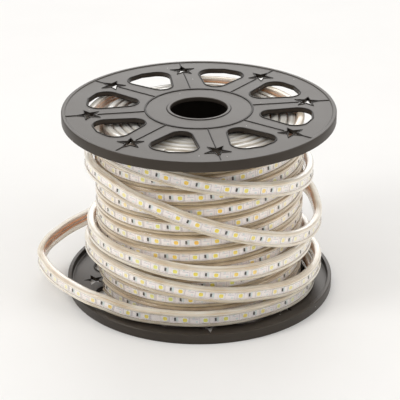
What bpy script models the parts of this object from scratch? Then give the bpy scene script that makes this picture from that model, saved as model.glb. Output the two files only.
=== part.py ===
# LED strip light wound on a plastic reel that stands on its lower flange.
# Metres, +Z up. The origin is on the reel's axis, at the level of the floor.

import math

import bmesh
import bpy
from mathutils import Vector

MM = 0.001
GAP = 0.3 * MM

# Reel
REEL_HEIGHT = 161.4 * MM
FLANGE_RADIUS = 115.0 * MM
FLANGE_RELIEF = 0.6 * MM
PLATE_THICKNESS = 3.0 * MM
RIM_HEIGHT = 8.6 * MM
RIM_WIDTH = 3.4 * MM
RIM_CHAMFER = 0.6 * MM
BORE_RADIUS = 24.0 * MM
BORE_LIP_WIDTH = 3.0 * MM
BARREL_RADIUS = 45.0 * MM
BARREL_WALL = 2.5 * MM
RING_WIDTH = 2.0 * MM

# Openings and ribs of a flange
SECTOR_COUNT = 8
STAR_PHASE = math.radians(-8.9)
LOWER_STAR_PHASE = math.radians(5.0)
STAR_CENTRE = 92.3 * MM
STAR_RADIUS = 9.6 * MM
STAR_NOTCH = 0.4
STAR_LIP = 1.6 * MM
RIB_WIDTH = 1.6 * MM
WINDOW_INNER = 53.0 * MM
WINDOW_OUTER = 96.0 * MM
WINDOW_FOOT_RADIUS = 9.5 * MM
WINDOW_SHOULDER_RADIUS = 11.0 * MM
WINDOW_WIDTH = 38.4 * MM
WINDOW_SHOULDER_DROP = 2.0 * MM
WINDOW_BROW = 12.0
WINDOW_LIP = 1.4 * MM
LIP_DROP = 0.10 * MM
STAR_LIP_DROP = 0.15 * MM
RIB_DROP = 0.22 * MM
RELIEF_ROOT = 1.0 * MM

# Strip and winding
STRIP_WIDTH = 13.0 * MM
STRIP_THICKNESS = 7.0 * MM
STRIP_EDGE = 1.6 * MM
TURN_SLACK = 0.6 * MM
LAYER_COUNT = 6
LAYER_SLACK = 0.21 * MM
TURN_GROOVE = 1.6 * MM
LAYER_GROOVE = 1.0 * MM
CHORD_SAG = 0.5 * MM

# Fineness of the turned and swept shapes
FLANGE_SEGMENTS = 48
WINDING_SEGMENTS = 36
ARC_STEPS = 4
STATION_STEP = 12.0 * MM
FINE_STEPS = 2000
DIRECTION_STEP = 0.2

PLATE_TOP = FLANGE_RELIEF + PLATE_THICKNESS
WINDING_BOTTOM = PLATE_TOP + GAP
TURN_PITCH = STRIP_WIDTH + TURN_SLACK
LAYER_PITCH = STRIP_THICKNESS + LAYER_SLACK
WINDING_INNER = BARREL_RADIUS + GAP
WINDING_RADIUS = WINDING_INNER + LAYER_COUNT * LAYER_PITCH
OUTER_LAYER_START = WINDING_RADIUS - LAYER_PITCH
TURN_COUNT = math.floor((REEL_HEIGHT - 2 * WINDING_BOTTOM) / TURN_PITCH)
WINDING_TOP = WINDING_BOTTOM + TURN_COUNT * TURN_PITCH
WRAP_RADIUS = WINDING_RADIUS + GAP + CHORD_SAG + STRIP_THICKNESS / 2
LOWEST_CENTRE = PLATE_TOP + GAP + STRIP_WIDTH / 2
HIGHEST_CENTRE = REEL_HEIGHT - LOWEST_CENTRE
RIM_ROOM = FLANGE_RADIUS - RIM_WIDTH - WRAP_RADIUS - STRIP_THICKNESS / 2

# Routes of the outer turns, chosen by hand. Each point is the angle in degrees from the front,
# to the right, then how far the strip stands off its seat on the winding, as a share of the
# room up to the rim, then its height as a share of the way from the lowest place to the highest.
UPPER_ROUTE = [
    (-130, 0.000, 0.985), (-90, 0.000, 0.980), (-60, 0.000, 0.966), (-36, 0.000, 0.940),
    (-16, 0.000, 0.908), (4, 0.000, 0.862), (24, 0.000, 0.811), (44, 0.000, 0.760),
    (60, 0.026, 0.725), (75, 0.052, 0.703), (90, 0.059, 0.695), (110, 0.039, 0.703),
    (140, 0.020, 0.722), (180, 0.000, 0.740), (225, 0.020, 0.756), (262, 0.052, 0.772),
    (280, 0.052, 0.778), (300, 0.020, 0.775), (310, 0.000, 0.767), (321, 0.000, 0.743),
    (341, 0.000, 0.696), (360, 0.000, 0.621), (379, 0.000, 0.540), (398, 0.000, 0.459),
    (410, 0.066, 0.412), (422, 0.164, 0.378), (436, 0.361, 0.355), (448, 0.591, 0.358),
    (458, 0.656, 0.386), (472, 0.656, 0.436), (495, 0.361, 0.452), (530, 0.131, 0.424),
    (560, 0.033, 0.385), (575, 0.026, 0.358), (584, 0.066, 0.337), (590, 0.230, 0.318)]
LOOP_ROUTE = [
    (590, 0.230, 0.318), (595, 0.551, 0.288), (600, 0.748, 0.250), (604.5, 0.912, 0.218),
    (607.5, 1.345, 0.193), (611.3, 1.923, 0.161), (616.3, 2.441, 0.129), (620.7, 2.808, 0.104),
    (628, 2.992, 0.074), (635.5, 2.625, 0.056), (644, 2.146, 0.045), (652, 1.699, 0.041),
    (658, 1.444, 0.040), (664.5, 1.207, 0.039), (669, 1.010, 0.037), (673, 0.814, 0.030),
    (677.5, 0.604, 0.017), (684, 0.348, 0.005), (700, 0.052, 0.004)]
FRONT_ROUTE = [
    (700, 0.052, 0.004), (714, 0.000, 0.007), (735, 0.000, 0.009), (754, 0.007, 0.007),
    (764, 0.052, 0.003), (774, 0.151, 0.001), (786, 0.262, 0.000), (798, 0.302, 0.000),
    (812, 0.236, 0.000), (840, 0.079, 0.000), (890, 0.026, 0.000)]
LOWER_ROUTE = [
    (-104, 0.000, 0.336), (-80, 0.013, 0.340), (-50, 0.000, 0.346), (-31, 0.000, 0.342),
    (-12, 0.000, 0.321), (8, 0.000, 0.301), (29, 0.000, 0.281), (42, 0.000, 0.276),
    (57, 0.000, 0.266), (80, 0.033, 0.250), (110, 0.033, 0.235), (180, 0.000, 0.220),
    (250, 0.026, 0.221), (275, 0.184, 0.226), (296, 0.066, 0.230), (313, 0.000, 0.228),
    (332, 0.000, 0.215), (351, 0.000, 0.195), (361, 0.000, 0.178), (382, 0.000, 0.143),
    (393, 0.013, 0.127), (402, 0.092, 0.110), (411, 0.276, 0.101), (423, 0.486, 0.099),
    (438, 0.610, 0.099), (450, 0.610, 0.099), (465, 0.459, 0.102), (490, 0.098, 0.108),
    (540, 0.000, 0.110), (580, 0.000, 0.112)]


def plastic(name, colour, roughness):
    """A plain material with its own colour."""
    material = bpy.data.materials.new(name)
    material.use_nodes = True
    shader = material.node_tree.nodes["Principled BSDF"]
    shader.inputs["Base Color"].default_value = (*colour, 1.0)
    shader.inputs["Roughness"].default_value = roughness
    shader.inputs["Metallic"].default_value = 0.0
    return material


def object_from(name, bm, material=None):
    """Turn a bmesh into an object whose faces point outwards."""
    bmesh.ops.recalc_face_normals(bm, faces=bm.faces)
    mesh = bpy.data.meshes.new(name)
    bm.to_mesh(mesh)
    bm.free()
    made = bpy.data.objects.new(name, mesh)
    bpy.context.collection.objects.link(made)
    if material:
        mesh.materials.append(material)
    return made


def turned(name, profile, segments, material):
    """Spin a closed outline of (radius, height) points round the Z axis."""
    bm = bmesh.new()
    ring = [bm.verts.new((radius, 0.0, height)) for radius, height in profile]
    edges = [bm.edges.new((ring[i - 1], ring[i])) for i in range(len(ring))]
    bmesh.ops.spin(bm, geom=ring + edges, cent=(0, 0, 0), axis=(0, 0, 1),
                   angle=math.tau, steps=segments, use_merge=True)
    bmesh.ops.remove_doubles(bm, verts=bm.verts, dist=0.01 * MM)
    made = object_from(name, bm, material)
    made.data.shade_smooth()
    made.data.set_sharp_from_angle(angle=math.radians(30))
    return made


def add_prism(bm, outline, low, high):
    """Add a closed prism over an outline of (x, y) points."""
    base = bm.faces.new([bm.verts.new((x, y, low)) for x, y in outline])
    lifted = bmesh.ops.extrude_face_region(bm, geom=[base])["geom"]
    tops = [item for item in lifted if isinstance(item, bmesh.types.BMVert)]
    bmesh.ops.translate(bm, verts=tops, vec=(0, 0, high - low))


def hidden_tool(name, prisms):
    """Join prisms that don't touch into one hidden object for a Boolean."""
    bm = bmesh.new()
    for outline, low, high in prisms:
        add_prism(bm, outline, low, high)
    made = object_from(name, bm)
    made.hide_render = True
    made.display_type = "WIRE"
    return made


def combine(target, tool, operation):
    """Add a Boolean with the exact solver."""
    modifier = target.modifiers.new(tool.name, "BOOLEAN")
    modifier.operation = operation
    modifier.solver = "EXACT"
    modifier.object = tool


def turned_outline(points, angle):
    """Place points given along and across a radius at an angle round the axis."""
    out, side = (math.cos(angle), math.sin(angle)), (-math.sin(angle), math.cos(angle))
    return [(along * out[0] + across * side[0], along * out[1] + across * side[1])
            for along, across in points]


def arc(centre, radius, start, end):
    """Points of an arc, as (along, across), with angles in degrees from the radius."""
    points = []
    for step in range(ARC_STEPS + 1):
        angle = math.radians(start + (end - start) * step / ARC_STEPS)
        points.append((centre[0] + radius * math.cos(angle), centre[1] + radius * math.sin(angle)))
    return points


def window_outline(margin=0.0):
    """Rounded window, wide at its outer end, grown by a margin."""
    foot = (WINDOW_INNER + WINDOW_FOOT_RADIUS, 0.0)
    shoulder_across = WINDOW_WIDTH / 2 - WINDOW_SHOULDER_RADIUS
    shoulder_along = WINDOW_OUTER - WINDOW_SHOULDER_DROP - WINDOW_SHOULDER_RADIUS
    lean = math.degrees(math.atan2(shoulder_across, shoulder_along - foot[0]))
    side = 90 + lean
    foot_radius = WINDOW_FOOT_RADIUS + margin
    shoulder_radius = WINDOW_SHOULDER_RADIUS + margin
    points = arc(foot, foot_radius, 360 - side, side)
    points += arc((shoulder_along, shoulder_across), shoulder_radius, side, WINDOW_BROW)
    points.append((WINDOW_OUTER + margin, 0.0))
    points += arc((shoulder_along, -shoulder_across), shoulder_radius, -WINDOW_BROW, -side)
    return points


def star_outline(radius):
    """Five-pointed star with one tip outwards."""
    points = []
    for corner in range(10):
        reach = radius if corner % 2 == 0 else radius * STAR_NOTCH
        angle = corner * math.pi / 5
        points.append((STAR_CENTRE + reach * math.cos(angle), reach * math.sin(angle)))
    return points


def flange(name, phase, material):
    """Moulded disc with its outer face down, at the floor, and a star at the phase angle."""
    rim_inner = FLANGE_RADIUS - RIM_WIDTH
    ring_inner = BARREL_RADIUS - RING_WIDTH / 2
    profile = [
        (BORE_RADIUS, 0.0), (BORE_RADIUS + BORE_LIP_WIDTH, 0.0),
        (BORE_RADIUS + BORE_LIP_WIDTH, FLANGE_RELIEF),
        (ring_inner, FLANGE_RELIEF), (ring_inner, LIP_DROP),
        (ring_inner + RING_WIDTH, LIP_DROP), (ring_inner + RING_WIDTH, FLANGE_RELIEF),
        (rim_inner, FLANGE_RELIEF), (rim_inner, 0.0),
        (FLANGE_RADIUS - RIM_CHAMFER, 0.0), (FLANGE_RADIUS, RIM_CHAMFER),
        (FLANGE_RADIUS, RIM_HEIGHT), (rim_inner, RIM_HEIGHT),
        (rim_inner, PLATE_TOP), (BORE_RADIUS, PLATE_TOP)]
    disc = turned(name, profile, FLANGE_SEGMENTS, material)
    sector = math.tau / SECTOR_COUNT
    root = FLANGE_RELIEF + RELIEF_ROOT
    beyond = PLATE_TOP + RELIEF_ROOT
    half_rib = RIB_WIDTH / 2
    rib = [(BARREL_RADIUS, -half_rib), (rim_inner + RIM_WIDTH / 2, -half_rib),
           (rim_inner + RIM_WIDTH / 2, half_rib), (BARREL_RADIUS, half_rib)]
    lips, ribs, holes = [], [], []
    for index in range(SECTOR_COUNT):
        star_angle = phase + index * sector
        window_angle = star_angle + sector / 2
        lips.append((turned_outline(window_outline(WINDOW_LIP), window_angle), LIP_DROP, root))
        lips.append((turned_outline(star_outline(STAR_RADIUS + STAR_LIP), star_angle),
                     STAR_LIP_DROP, root))
        ribs.append((turned_outline(rib, star_angle), RIB_DROP, root))
        holes.append((turned_outline(window_outline(), window_angle), -RELIEF_ROOT, beyond))
        holes.append((turned_outline(star_outline(STAR_RADIUS), star_angle), -RELIEF_ROOT, beyond))
    combine(disc, hidden_tool(name + "_lips", lips), "UNION")
    combine(disc, hidden_tool(name + "_ribs", ribs), "UNION")
    combine(disc, hidden_tool(name + "_holes", holes), "DIFFERENCE")
    return disc


def core_barrel(material):
    """Hollow barrel between the two flanges."""
    low, high = PLATE_TOP + GAP, REEL_HEIGHT - PLATE_TOP - GAP
    inner = BARREL_RADIUS - BARREL_WALL
    return turned("core_barrel", [(inner, low), (BARREL_RADIUS, low), (BARREL_RADIUS, high),
                                  (inner, high)], WINDING_SEGMENTS, material)


def packed_layers(name, inner, outer, layers, material):
    """Packed layers of turns as one turned solid, with the turns showing on every side."""
    pitch = (outer - inner) / layers
    profile = []
    for layer in range(layers):
        start = inner + layer * pitch
        profile.append((start, WINDING_BOTTOM + (LAYER_GROOVE if layer else 0.0)))
        profile.append((start + pitch / 2, WINDING_BOTTOM))
    for turn in range(TURN_COUNT):
        start = WINDING_BOTTOM + turn * TURN_PITCH
        profile.append((outer - TURN_GROOVE, start + (LAYER_GROOVE if turn == 0 else 0.0)))
        profile.append((outer, start + TURN_PITCH * 0.2))
        profile.append((outer, start + TURN_PITCH * 0.8))
    profile.append((outer - TURN_GROOVE, WINDING_TOP - LAYER_GROOVE))
    for layer in reversed(range(layers)):
        start = inner + layer * pitch
        profile.append((start + pitch / 2, WINDING_TOP))
        profile.append((start, WINDING_TOP - (LAYER_GROOVE if layer else 0.0)))
    return turned(name, profile, WINDING_SEGMENTS, material)


def winding(material):
    """The inner layers of packed turns, and the outermost layer round them."""
    packed_layers("strip_winding", WINDING_INNER, OUTER_LAYER_START - GAP, LAYER_COUNT - 1, material)
    packed_layers("outer_layer", OUTER_LAYER_START, WINDING_RADIUS, 1, material)


def route_value(points, column, angle):
    """Smooth value of a route's column at an angle, by cubic pieces through its points."""
    last = len(points) - 1
    index = max(i for i in range(last) if points[i][0] <= angle)

    def slope(i):
        before, after = points[max(i - 1, 0)], points[min(i + 1, last)]
        return (after[column] - before[column]) / (after[0] - before[0])

    start, end = points[index], points[index + 1]
    span = end[0] - start[0]
    share = (angle - start[0]) / span
    rise = 3 * share ** 2 - 2 * share ** 3
    return ((1 - rise) * start[column] + rise * end[column]
            + span * (share * (1 - share) ** 2 * slope(index)
                      - share ** 2 * (1 - share) * slope(index + 1)))


def route_place(points, angle):
    """Place of the strip's middle at an angle along a route."""
    radius = WRAP_RADIUS + route_value(points, 1, angle) * RIM_ROOM
    share = max(0.0, route_value(points, 2, angle))
    height = LOWEST_CENTRE + share * (HIGHEST_CENTRE - LOWEST_CENTRE)
    turn = math.radians(angle)
    return Vector((radius * math.sin(turn), -radius * math.cos(turn), height))


def route_direction(points, angle):
    """Direction in which the strip runs at an angle along a route."""
    ahead = route_place(points, min(angle + DIRECTION_STEP, points[-1][0]))
    behind = route_place(points, max(angle - DIRECTION_STEP, points[0][0]))
    return (ahead - behind).normalized()


def stations(points, start, end, butts=(False, False)):
    """Places and directions about a station step apart along a route.

    An end that butts against the next stretch is held back by half of the gap."""
    fine = [start + (end - start) * i / FINE_STEPS for i in range(FINE_STEPS + 1)]
    places = [route_place(points, angle) for angle in fine]
    lengths = [0.0]
    for before, after in zip(places, places[1:]):
        lengths.append(lengths[-1] + (after - before).length)
    count = max(2, round(lengths[-1] / STATION_STEP))
    chosen = []
    for step in range(count + 1):
        goal = lengths[-1] * step / count
        nearest = min(range(len(lengths)), key=lambda i: abs(lengths[i] - goal))
        chosen.append([places[nearest], route_direction(points, fine[nearest])])
    for butt, station, side in zip(butts, (chosen[0], chosen[-1]), (1, -1)):
        if butt:
            station[0] = station[0] + station[1] * side * GAP / 2
    return chosen


def flat_strip(name, track, material):
    """Sweep the strip's flat section along stations, standing on its edge."""
    half_width, half_thick = STRIP_WIDTH / 2, STRIP_THICKNESS / 2
    section = [(half_thick, half_width - STRIP_EDGE), (half_thick - STRIP_EDGE, half_width),
               (-half_thick + STRIP_EDGE, half_width), (-half_thick, half_width - STRIP_EDGE),
               (-half_thick, -half_width + STRIP_EDGE), (-half_thick + STRIP_EDGE, -half_width),
               (half_thick - STRIP_EDGE, -half_width), (half_thick, -half_width + STRIP_EDGE)]
    bm = bmesh.new()
    rings = []
    for place, along in track:
        upward = Vector((0, 0, 1))
        upward = (upward - upward.dot(along) * along).normalized()
        outward = along.cross(upward)
        rings.append([bm.verts.new(place + outward * u + upward * w) for u, w in section])
    for before, after in zip(rings, rings[1:]):
        for i in range(len(section)):
            bm.faces.new((before[i - 1], before[i], after[i], after[i - 1]))
    bm.faces.new(rings[0])
    bm.faces.new(rings[-1])
    return object_from(name, bm, material)


def outer_turns(material):
    """The last turns of the strip, which cross the winding, bow out and end behind."""
    route = UPPER_ROUTE + LOOP_ROUTE[1:] + FRONT_ROUTE[1:]
    leaves, returns = LOOP_ROUTE[0][0], LOOP_ROUTE[-1][0]
    flat_strip("upper_wrap", stations(route, route[0][0], leaves, (False, True)), material)
    flat_strip("strip_loop", stations(route, leaves, returns, (True, True)), material)
    flat_strip("front_wrap", stations(route, returns, route[-1][0], (True, False)), material)
    flat_strip("lower_wrap", stations(LOWER_ROUTE, LOWER_ROUTE[0][0], LOWER_ROUTE[-1][0]), material)


def build():
    for old in list(bpy.data.objects):
        bpy.data.objects.remove(old, do_unlink=True)
    black = plastic("black_plastic", (0.03, 0.028, 0.027), 0.42)
    clear = plastic("clear_sleeve", (0.86, 0.82, 0.72), 0.25)
    flange("bottom_flange", LOWER_STAR_PHASE, black)
    top = flange("top_flange", STAR_PHASE, black)
    bpy.context.view_layer.update()
    for piece in [top] + [modifier.object for modifier in top.modifiers]:
        piece.rotation_euler = (math.pi, 0.0, 0.0)
        piece.location = (0.0, 0.0, REEL_HEIGHT)
    core_barrel(black)
    winding(clear)
    outer_turns(clear)
    bpy.context.view_layer.update()


build()
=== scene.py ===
# The looks of an LED strip light wound on its plastic reel.
# Metres, +Z up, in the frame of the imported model.
import math

import bpy
import numpy as np
from mathutils import Matrix, Vector


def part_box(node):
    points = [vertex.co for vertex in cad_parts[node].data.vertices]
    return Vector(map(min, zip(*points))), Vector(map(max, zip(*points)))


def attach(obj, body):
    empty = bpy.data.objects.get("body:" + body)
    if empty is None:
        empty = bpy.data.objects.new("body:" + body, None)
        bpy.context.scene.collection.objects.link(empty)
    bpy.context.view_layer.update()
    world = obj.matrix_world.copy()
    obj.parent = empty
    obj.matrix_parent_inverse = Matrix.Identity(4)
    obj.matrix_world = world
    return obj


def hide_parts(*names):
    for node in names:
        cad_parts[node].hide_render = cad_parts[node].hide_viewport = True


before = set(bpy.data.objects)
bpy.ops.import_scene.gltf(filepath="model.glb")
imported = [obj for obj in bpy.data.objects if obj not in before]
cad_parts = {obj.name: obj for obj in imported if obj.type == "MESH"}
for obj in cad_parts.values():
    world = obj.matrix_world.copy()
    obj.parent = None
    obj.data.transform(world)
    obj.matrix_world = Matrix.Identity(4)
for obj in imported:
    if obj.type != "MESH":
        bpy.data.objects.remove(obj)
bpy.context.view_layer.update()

MM = 0.001
BODY = "root"

# Sizes read from the frame
REEL_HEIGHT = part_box("top_flange")[1][2]
FLANGE_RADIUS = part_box("top_flange")[1][0]
BARREL_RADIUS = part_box("core_barrel")[1][0]
WINDING_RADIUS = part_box("outer_layer")[1][0]
WINDING_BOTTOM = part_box("strip_winding")[0][2]
WINDING_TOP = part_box("strip_winding")[1][2]

# Flange
FLANGE_RELIEF = 0.6 * MM
PLATE_TOP = 3.6 * MM
RIM_HEIGHT = 8.6 * MM
RIM_WIDTH = 3.4 * MM
BORE_RADIUS = 24.0 * MM
BORE_LIP_WIDTH = 3.0 * MM
BARREL_WALL = 2.5 * MM
SECTOR_COUNT = 8
UPPER_STAR_PHASE = math.radians(-8.9)
LOWER_STAR_PHASE = math.radians(5.0)
STAR_CENTRE = 92.3 * MM
STAR_RADIUS = 9.6 * MM
STAR_NOTCH = 0.4
WINDOW_INNER = 53.0 * MM
WINDOW_OUTER = 96.0 * MM
WINDOW_FOOT_RADIUS = 9.5 * MM
WINDOW_SHOULDER_RADIUS = 11.0 * MM
WINDOW_WIDTH = 38.4 * MM
WINDOW_SHOULDER_DROP = 2.0 * MM
WINDOW_BROW = 12.0
BEAD_RADIUS = 0.8 * MM
RIB_RADIUS = 0.7 * MM
RIDGE_CLEARANCE = 0.02 * MM
WINDOW_BEAD_MARGIN = 0.75 * MM
INNER_BEAD_MARGIN = 0.6 * MM
STAR_BEAD_MARGIN = 1.3 * MM
CUT_LOW, CUT_HIGH = -2.0 * MM, 6.0 * MM
PLATE_FACING = 0.999
SMOOTH_ANGLE = 35
TURNED_STEPS = 144
ARC_STEPS = 12

# Strip
STRIP_WIDTH = 13.0 * MM
STRIP_THICKNESS = 7.0 * MM
SEAT_CLEARANCE = 0.8 * MM
BUTT_GAP = 0.02 * MM
SLEEVE_STEP = 4.0 * MM
BAND_FRONT = 1.6 * MM
BAND_THICKNESS = 0.3 * MM
BAND_WIDTH = 7.4 * MM
WIRE_BACK = 1.6 * MM
WIRE_HEIGHT = 1.6 * MM
WIRE_RISE = 0.6 * MM
WIRE_RADIUS = 0.95 * MM
PACKED_STEP = 6.0 * MM
END_MARGIN = 0.6 * MM
PART_ROOM = 0.4 * MM
GAP = 0.3 * MM
WELD_DISTANCE = 0.01 * MM
MERGE_DISTANCE = 0.02 * MM

# Circuit
LED_SIZE = (5.0 * MM, 1.0 * MM, 4.9 * MM)
LED_SEAT = 0.05 * MM
LED_ROUNDING = 0.25 * MM
CUP_MARGIN = 0.5 * MM
CUP_CORNER = 1.0 * MM
CUP_DEPTH = 0.18 * MM
SURFACE_LIFT = 0.04 * MM
FRONT_FACING = 0.9

# Middle line of the outer turns
ROUTE_STEPS_PER_DEGREE = 2
WRAP_RADIUS = WINDING_RADIUS + SEAT_CLEARANCE + STRIP_THICKNESS / 2
RIM_ROOM = FLANGE_RADIUS - RIM_WIDTH - WRAP_RADIUS - STRIP_THICKNESS / 2
LOWEST_CENTRE = WINDING_BOTTOM + STRIP_WIDTH / 2
HIGHEST_CENTRE = REEL_HEIGHT - LOWEST_CENTRE

# Routes of the outer turns, as in the model: the angle in degrees from the front, to the right,
# then the stand-off as a share of the room up to the rim, then the height as a share.
UPPER_ROUTE = [
    (-130, 0.000, 0.985), (-90, 0.000, 0.980), (-60, 0.000, 0.966), (-36, 0.000, 0.940),
    (-16, 0.000, 0.908), (4, 0.000, 0.862), (24, 0.000, 0.811), (44, 0.000, 0.760),
    (60, 0.026, 0.725), (75, 0.052, 0.703), (90, 0.059, 0.695), (110, 0.039, 0.703),
    (140, 0.020, 0.722), (180, 0.000, 0.740), (225, 0.020, 0.756), (262, 0.052, 0.772),
    (280, 0.052, 0.778), (300, 0.020, 0.775), (310, 0.000, 0.767), (321, 0.000, 0.743),
    (341, 0.000, 0.696), (360, 0.000, 0.621), (379, 0.000, 0.540), (398, 0.000, 0.459),
    (410, 0.066, 0.412), (422, 0.164, 0.378), (436, 0.361, 0.355), (448, 0.591, 0.358),
    (458, 0.656, 0.386), (472, 0.656, 0.436), (495, 0.361, 0.452), (530, 0.131, 0.424),
    (560, 0.033, 0.385), (575, 0.026, 0.358), (584, 0.066, 0.337), (590, 0.230, 0.318)]
LOOP_ROUTE = [
    (590, 0.230, 0.318), (595, 0.551, 0.288), (600, 0.748, 0.250), (604.5, 0.912, 0.218),
    (607.5, 1.345, 0.193), (611.3, 1.923, 0.161), (616.3, 2.441, 0.129), (620.7, 2.808, 0.104),
    (628, 2.992, 0.074), (635.5, 2.625, 0.056), (644, 2.146, 0.045), (652, 1.699, 0.041),
    (658, 1.444, 0.040), (664.5, 1.207, 0.039), (669, 1.010, 0.037), (673, 0.814, 0.030),
    (677.5, 0.604, 0.017), (684, 0.348, 0.005), (700, 0.052, 0.004)]
FRONT_ROUTE = [
    (700, 0.052, 0.004), (714, 0.000, 0.007), (735, 0.000, 0.009), (754, 0.007, 0.007),
    (764, 0.052, 0.003), (774, 0.151, 0.001), (786, 0.262, 0.000), (798, 0.302, 0.000),
    (812, 0.236, 0.000), (840, 0.079, 0.000), (890, 0.026, 0.000)]
LOWER_ROUTE = [
    (-104, 0.000, 0.336), (-80, 0.013, 0.340), (-50, 0.000, 0.346), (-31, 0.000, 0.342),
    (-12, 0.000, 0.321), (8, 0.000, 0.301), (29, 0.000, 0.281), (42, 0.000, 0.276),
    (57, 0.000, 0.266), (80, 0.033, 0.250), (110, 0.033, 0.235), (180, 0.000, 0.220),
    (250, 0.026, 0.221), (275, 0.184, 0.226), (296, 0.066, 0.230), (313, 0.000, 0.228),
    (332, 0.000, 0.215), (351, 0.000, 0.195), (361, 0.000, 0.178), (382, 0.000, 0.143),
    (393, 0.013, 0.127), (402, 0.092, 0.110), (411, 0.276, 0.101), (423, 0.486, 0.099),
    (438, 0.610, 0.099), (450, 0.610, 0.099), (465, 0.459, 0.102), (490, 0.098, 0.108),
    (540, 0.000, 0.110), (580, 0.000, 0.112)]
OUTER_ROUTE = UPPER_ROUTE + LOOP_ROUTE[1:] + FRONT_ROUTE[1:]

# The stretches of outer strip: name, node, route, first and last angle, whether each end butts
# against the next stretch, the angle of an LED with a resistor after it, and the LEDs' spacing.
STRETCHES = [
    ("upper_turns", "upper_wrap", OUTER_ROUTE, -130, 590, (0, 1), -6.1, 16.2 * MM),
    ("loose_loop", "strip_loop", OUTER_ROUTE, 590, 700, (1, 1), 683.5, 16.4 * MM),
    ("front_turn", "front_wrap", OUTER_ROUTE, 700, 890, (1, 0), 722.9, 16.5 * MM),
    ("lower_turns", "lower_wrap", LOWER_ROUTE, -104, 580, (0, 0), -1.9, 16.41 * MM)]

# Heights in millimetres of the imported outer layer's turns where they pass the front, and its sway
LAYER_ROWS = [13.0, 26.0, 39.3, 52.7, 65.7, 78.8, 92.2, 105.2, 118.6, 131.8, 144.8]
LAYER_TURN_PITCH = 13.0
LAYER_START, LAYER_END, LAYER_STEP = -70.0, 180.5, 1.5
LAYER_SWAY = 2.87
LAYER_SWAY_START = 0.3
LAYER_SWAY_GROWTH = 4.0
LAYER_MARGIN = 1.0 * MM
LAYER_LED_ANGLE = -5.8
LAYER_LED_SPACING = 16.24 * MM
LAYER_THICKNESS = 7.21 * MM

# Inner layers: their rings, with angles in degrees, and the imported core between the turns
INNER_LAYERS = 5
RING_TURN = 359.6
RING_POINTS = 121
RING_PHASE = 40.0
RING_PHASE_STEP = 75.0
RING_RISES = (1.0 * MM, 1.5 * MM)
RING_MARGIN = 0.2 * MM
CORE_CLEARANCE = 0.4 * MM
CORE_INSET = 12.0 * MM
CORE_PITCH = 13.15 * MM
CORE_GROOVE = 1.4 * MM
CORE_SLOPE = 2.2 * MM
CORE_FLAT = 11.0 * MM

# Camera
CAMERA_TARGET = Vector((0.00064, 0.0, 0.07623))
CAMERA_DISTANCE = 1.35315
CAMERA_ELEVATION = math.radians(24.89)
CAMERA_ROLL = math.radians(-0.225)
CAMERA_LENS = 141.9

# The floor's side, and the lights: name, place, target, size, power, spread in degrees
FLOOR_SIDE = 8.0
LIGHTS = [
    ("key", (-1.7, -0.7, 1.3), (0, 0, 0.08), 0.7, 15.0, 180),
    ("fill", (1.6, -0.6, 1.0), (0, 0, 0.08), 0.7, 7.0, 180),
    ("back", (0.1, 2.1, 1.15), (0, 0, 0.15), 1.6, 4.3, 90)]
WORLD_COLOUR = (1.0, 0.99, 0.985)
WORLD_STRENGTH = 0.80


# Working by hand: selecting, shaping, finishing

def activate(piece):
    """Select one piece alone and make it the active one."""
    bpy.ops.object.select_all(action="DESELECT")
    piece.select_set(True)
    bpy.context.view_layer.objects.active = piece


def edit(piece):
    """Open a piece for shaping, with all of it selected."""
    activate(piece)
    bpy.ops.object.mode_set(mode="EDIT")
    bpy.ops.mesh.select_mode(type="VERT")
    bpy.ops.mesh.select_all(action="SELECT")


def close_edit(smooth=None):
    """Close the shaping, and smooth the faces that meet at less than an angle in degrees."""
    bpy.ops.object.mode_set(mode="OBJECT")
    if smooth is not None:
        bpy.ops.object.shade_smooth_by_angle(angle=math.radians(smooth))


def select_faces(piece, wanted):
    """In edit mode, select the faces that a test of centre and normal picks."""
    bpy.ops.object.mode_set(mode="OBJECT")
    for item in list(piece.data.vertices) + list(piece.data.edges):
        item.select = False
    for face in piece.data.polygons:
        face.select = wanted(face.center, face.normal)
    bpy.ops.object.mode_set(mode="EDIT")
    bpy.ops.mesh.select_mode(type="FACE")


def apply_all(piece):
    """Apply a piece's modifiers in their order."""
    activate(piece)
    for modifier in list(piece.modifiers):
        bpy.ops.object.modifier_apply(modifier=modifier.name)


def apply_place(piece):
    """Put a piece's place, turn and scale into its mesh."""
    activate(piece)
    bpy.ops.object.transform_apply(location=True, rotation=True, scale=True)


def joined(name, pieces):
    """Join pieces into one."""
    bpy.ops.object.select_all(action="DESELECT")
    for piece in pieces:
        piece.select_set(True)
    bpy.context.view_layer.objects.active = pieces[0]
    bpy.ops.object.join()
    pieces[0].name = name
    pieces[0].data.name = name
    return pieces[0]


def copied(piece, matrix):
    """A copy of a piece with its own mesh, moved by a matrix."""
    twin = piece.copy()
    twin.data = piece.data.copy()
    twin.data.transform(matrix)
    bpy.context.collection.objects.link(twin)
    return twin


def round_the_axis(piece, count):
    """The piece and its copies, evenly spaced round the reel's axis."""
    return [piece] + [copied(piece, Matrix.Rotation(math.tau * i / count, 4, "Z"))
                      for i in range(1, count)]


def removed(piece):
    """Throw a helper away."""
    bpy.data.objects.remove(piece, do_unlink=True)


def finish_piece(piece, slot, *materials):
    """Give a piece its materials and its body; the slot it is passed is not used."""
    if materials:
        piece.data.materials.clear()
        for material in materials:
            piece.data.materials.append(material)
    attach(piece, BODY)
    return piece


# Camera

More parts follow.
